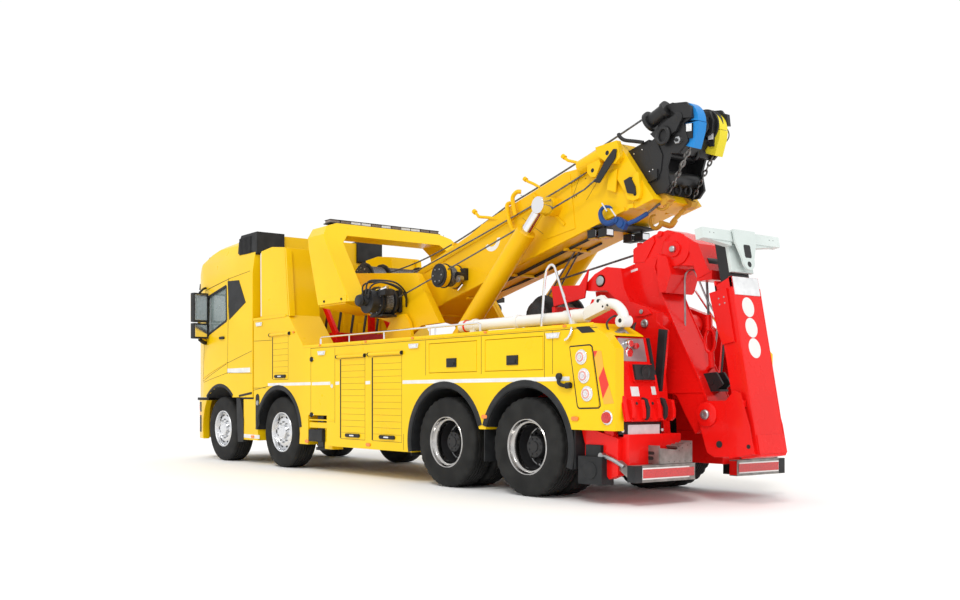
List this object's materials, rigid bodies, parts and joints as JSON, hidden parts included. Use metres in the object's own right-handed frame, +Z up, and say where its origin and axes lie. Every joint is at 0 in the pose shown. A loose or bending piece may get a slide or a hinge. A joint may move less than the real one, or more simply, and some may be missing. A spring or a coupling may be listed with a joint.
{
  "type": "recovery truck",
  "caption": "Heavy cab-over recovery truck with locker bodies, telescopic lifting boom, winches and a folding underlift at the rear.",
  "frame": {"origin": "on the ground, midway along the truck's length and width", "axes": "+X forward, +Y to the driver's left, +Z up"},
  "size_m": [10.814, 3.05, 4.0991],
  "materials": {
    "yellow": "gloss",
    "red": "gloss",
    "black": "satin",
    "grey": "matte",
    "tyre": "matte",
    "chrome": "polished",
    "white": "satin",
    "silver": "satin",
    "glass": "gloss"
  },
  "bodies": {
    "chassis": {"chassis_frame": "black", "engine_block": "grey", "axle_1": "black", "axle_2": "black", "rear_bogie": "black", "front_apron": "yellow", "subframe": "red", "body_left": "yellow", "body_right": "yellow", "boom_pedestal": "yellow", "drag_winch": "black", "tow_bar": "white"},
    "cab": {"cab_shell": "yellow", "windscreen": "glass", "grille": "black", "cab_interior": "grey", "dashboard": "grey", "roof_deflector_left": "grey", "roof_deflector_right": "grey"},
    "door_left": {"door_left": "yellow", "door_glass_left": "glass"},
    "door_right": {"door_right": "yellow", "door_glass_right": "glass"},
    "boom": {"boom_outer": "yellow", "hoop": "yellow", "winch_upper": "black", "winch_left": "black", "winch_right": "black"},
    "boom_inner": {"boom_inner": "black"},
    "lift_barrel_left": {"lift_barrel_left": "yellow"},
    "lift_barrel_right": {"lift_barrel_right": "yellow"},
    "lift_rod_left": {"lift_rod_left": "chrome"},
    "lift_rod_right": {"lift_rod_right": "chrome"},
    "lift_arm": {"lift_arm": "red"},
    "arm_barrel": {"arm_barrel": "black"},
    "arm_rod": {"arm_rod": "chrome"},
    "mast": {"mast": "red"},
    "stinger": {"stinger": "grey"},
    "crossbar": {"crossbar": "silver"},
    "outrigger_left": {"outrigger_left": "black"},
    "outrigger_right": {"outrigger_right": "black"},
    "knuckle_1_left": {"knuckle_1_left": "black"},
    "lid_1_left": {"lid_1_left": "yellow"},
    "knuckle_1_right": {"knuckle_1_right": "black"},
    "lid_1_right": {"lid_1_right": "yellow"},
    "knuckle_2_left": {"knuckle_2_left": "black"},
    "lid_2_left": {"lid_2_left": "yellow"},
    "knuckle_2_right": {"knuckle_2_right": "black"},
    "lid_2_right": {"lid_2_right": "yellow"},
    "wheel_1_left": {"wheel_1_left": "tyre"},
    "wheel_1_right": {"wheel_1_right": "tyre"},
    "wheel_2_left": {"wheel_2_left": "tyre"},
    "wheel_2_right": {"wheel_2_right": "tyre"},
    "wheel_3_left": {"wheel_3_left": "tyre"},
    "wheel_3_right": {"wheel_3_right": "tyre"},
    "wheel_4_left": {"wheel_4_left": "tyre"},
    "wheel_4_right": {"wheel_4_right": "tyre"}
  },
  "joints": [
    {"name": "cab_tilt", "type": "hinge", "parent": "chassis", "child": "cab", "pos_m": [5.34, 0, 1.054], "axis": [0, 1, 0], "range_deg": [0, 55]},
    {"name": "door_left_swing", "type": "hinge", "parent": "cab", "child": "door_left", "pos_m": [4.745, 1.22, 1.56], "axis": [0, 0, -1], "range_deg": [0, 70]},
    {"name": "door_right_swing", "type": "hinge", "parent": "cab", "child": "door_right", "pos_m": [4.745, -1.22, 1.56], "axis": [0, 0, 1], "range_deg": [0, 70]},
    {"name": "steer_1_left", "type": "hinge", "parent": "chassis", "child": "knuckle_1_left", "pos_m": [4.035, 0.86, 0.53], "axis": [0, 0, 1], "range_deg": [-35, 35]},
    {"name": "steer_1_right", "type": "hinge", "parent": "chassis", "child": "knuckle_1_right", "pos_m": [4.035, -0.86, 0.53], "axis": [0, 0, 1], "range_deg": [-35, 35]},
    {"name": "steer_2_left", "type": "hinge", "parent": "chassis", "child": "knuckle_2_left", "pos_m": [2.06, 0.86, 0.53], "axis": [0, 0, 1], "range_deg": [-21, 21]},
    {"name": "steer_2_right", "type": "hinge", "parent": "chassis", "child": "knuckle_2_right", "pos_m": [2.06, -0.86, 0.53], "axis": [0, 0, 1], "range_deg": [-21, 21]},
    {"name": "wheel_1_left_spin", "type": "hinge", "parent": "knuckle_1_left", "child": "wheel_1_left", "pos_m": [4.035, 1.03, 0.53], "axis": [0, 1, 0], "continuous": true},
    {"name": "wheel_1_right_spin", "type": "hinge", "parent": "knuckle_1_right", "child": "wheel_1_right", "pos_m": [4.035, -1.03, 0.53], "axis": [0, 1, 0], "continuous": true},
    {"name": "wheel_2_left_spin", "type": "hinge", "parent": "knuckle_2_left", "child": "wheel_2_left", "pos_m": [2.06, 1.03, 0.53], "axis": [0, 1, 0], "continuous": true},
    {"name": "wheel_2_right_spin", "type": "hinge", "parent": "knuckle_2_right", "child": "wheel_2_right", "pos_m": [2.06, -1.03, 0.53], "axis": [0, 1, 0], "continuous": true},
    {"name": "wheel_3_left_spin", "type": "hinge", "parent": "chassis", "child": "wheel_3_left", "pos_m": [-1.915, 0.905, 0.53], "axis": [0, 1, 0], "continuous": true},
    {"name": "wheel_3_right_spin", "type": "hinge", "parent": "chassis", "child": "wheel_3_right", "pos_m": [-1.915, -0.905, 0.53], "axis": [0, 1, 0], "continuous": true},
    {"name": "wheel_4_left_spin", "type": "hinge", "parent": "chassis", "child": "wheel_4_left", "pos_m": [-3.285, 0.905, 0.53], "axis": [0, 1, 0], "continuous": true},
    {"name": "wheel_4_right_spin", "type": "hinge", "parent": "chassis", "child": "wheel_4_right", "pos_m": [-3.285, -0.905, 0.53], "axis": [0, 1, 0], "continuous": true},
    {"name": "lid_1_left_lift", "type": "hinge", "parent": "chassis", "child": "lid_1_left", "pos_m": [-2.065, 1.25, 1.694], "axis": [1, 0, 0], "range_deg": [0, 90]},
    {"name": "lid_1_right_lift", "type": "hinge", "parent": "chassis", "child": "lid_1_right", "pos_m": [-2.065, -1.25, 1.694], "axis": [-1, 0, 0], "range_deg": [0, 90]},
    {"name": "lid_2_left_lift", "type": "hinge", "parent": "chassis", "child": "lid_2_left", "pos_m": [-3.105, 1.25, 1.694], "axis": [1, 0, 0], "range_deg": [0, 90]},
    {"name": "lid_2_right_lift", "type": "hinge", "parent": "chassis", "child": "lid_2_right", "pos_m": [-3.105, -1.25, 1.694], "axis": [-1, 0, 0], "range_deg": [0, 90]},
    {"name": "outrigger_left_drop", "type": "slide", "parent": "chassis", "child": "outrigger_left", "axis": [0, 0, -1], "range_m": [0, 0.3]},
    {"name": "outrigger_right_drop", "type": "slide", "parent": "chassis", "child": "outrigger_right", "axis": [0, 0, -1], "range_m": [0, 0.3]},
    {"name": "boom_lift", "type": "hinge", "parent": "chassis", "child": "boom", "pos_m": [-0.235, 0, 2.04], "axis": [0, 1, 0], "range_deg": [0, 20]},
    {"name": "boom_extend", "type": "slide", "parent": "boom", "child": "boom_inner", "axis": [-0.9715, 0, 0.2368], "range_m": [0, 1.9]},
    {"name": "lift_barrel_left_swing", "type": "hinge", "parent": "chassis", "child": "lift_barrel_left", "pos_m": [-1.185, 0.56, 1.6], "axis": [0, 1, 0], "range_deg": [0, 21.43]},
    {"name": "lift_rod_left_stroke", "type": "slide", "parent": "lift_barrel_left", "child": "lift_rod_left", "axis": [-0.7092, 0, 0.705], "range_m": [0, 0.35923]},
    {"name": "lift_barrel_right_swing", "type": "hinge", "parent": "chassis", "child": "lift_barrel_right", "pos_m": [-1.185, -0.56, 1.6], "axis": [0, 1, 0], "range_deg": [0, 21.43]},
    {"name": "lift_rod_right_stroke", "type": "slide", "parent": "lift_barrel_right", "child": "lift_rod_right", "axis": [-0.7092, 0, 0.705], "range_m": [0, 0.35923]},
    {"name": "arm_lift", "type": "hinge", "parent": "chassis", "child": "lift_arm", "pos_m": [-4.215, 0, 1.83], "axis": [0, 1, 0], "range_deg": [0, 8]},
    {"name": "arm_barrel_swing", "type": "hinge", "parent": "chassis", "child": "arm_barrel", "pos_m": [-3.585, 0, 1.4], "axis": [0, 1, 0], "range_deg": [0, 4.47]},
    {"name": "arm_rod_stroke", "type": "slide", "parent": "arm_barrel", "child": "arm_rod", "axis": [0.0215, 0, 0.9998], "range_m": [-0.09158, 0]},
    {"name": "mast_fold", "type": "hinge", "parent": "lift_arm", "child": "mast", "pos_m": [-4.845, 0, 0.89], "axis": [0, -1, 0], "range_deg": [0, 90]},
    {"name": "stinger_extend", "type": "slide", "parent": "mast", "child": "stinger", "axis": [0.1788, 0, 0.9839], "range_m": [0, 0.28]},
    {"name": "crossbar_swivel", "type": "hinge", "parent": "stinger", "child": "crossbar", "pos_m": [-4.99687, 0, 2.43311], "axis": [0.9839, 0, -0.1788], "range_deg": [-15, 15]}
  ],
  "couplings": [
    {"joint": "steer_1_right", "follows": "steer_1_left", "ratio": 1},
    {"joint": "steer_2_left", "follows": "steer_1_left", "ratio": 0.6},
    {"joint": "steer_2_right", "follows": "steer_1_left", "ratio": 0.6},
    {"joint": "lift_barrel_left_swing", "follows": "boom_lift", "ratio": 1.0695},
    {"joint": "lift_rod_left_stroke", "follows": "boom_lift", "m_per_rad": 1.0271},
    {"joint": "lift_barrel_right_swing", "follows": "boom_lift", "ratio": 1.0695},
    {"joint": "lift_rod_right_stroke", "follows": "boom_lift", "m_per_rad": 1.0271},
    {"joint": "arm_barrel_swing", "follows": "arm_lift", "ratio": 0.55807},
    {"joint": "arm_rod_stroke", "follows": "arm_lift", "m_per_rad": -0.65461}
  ]
}
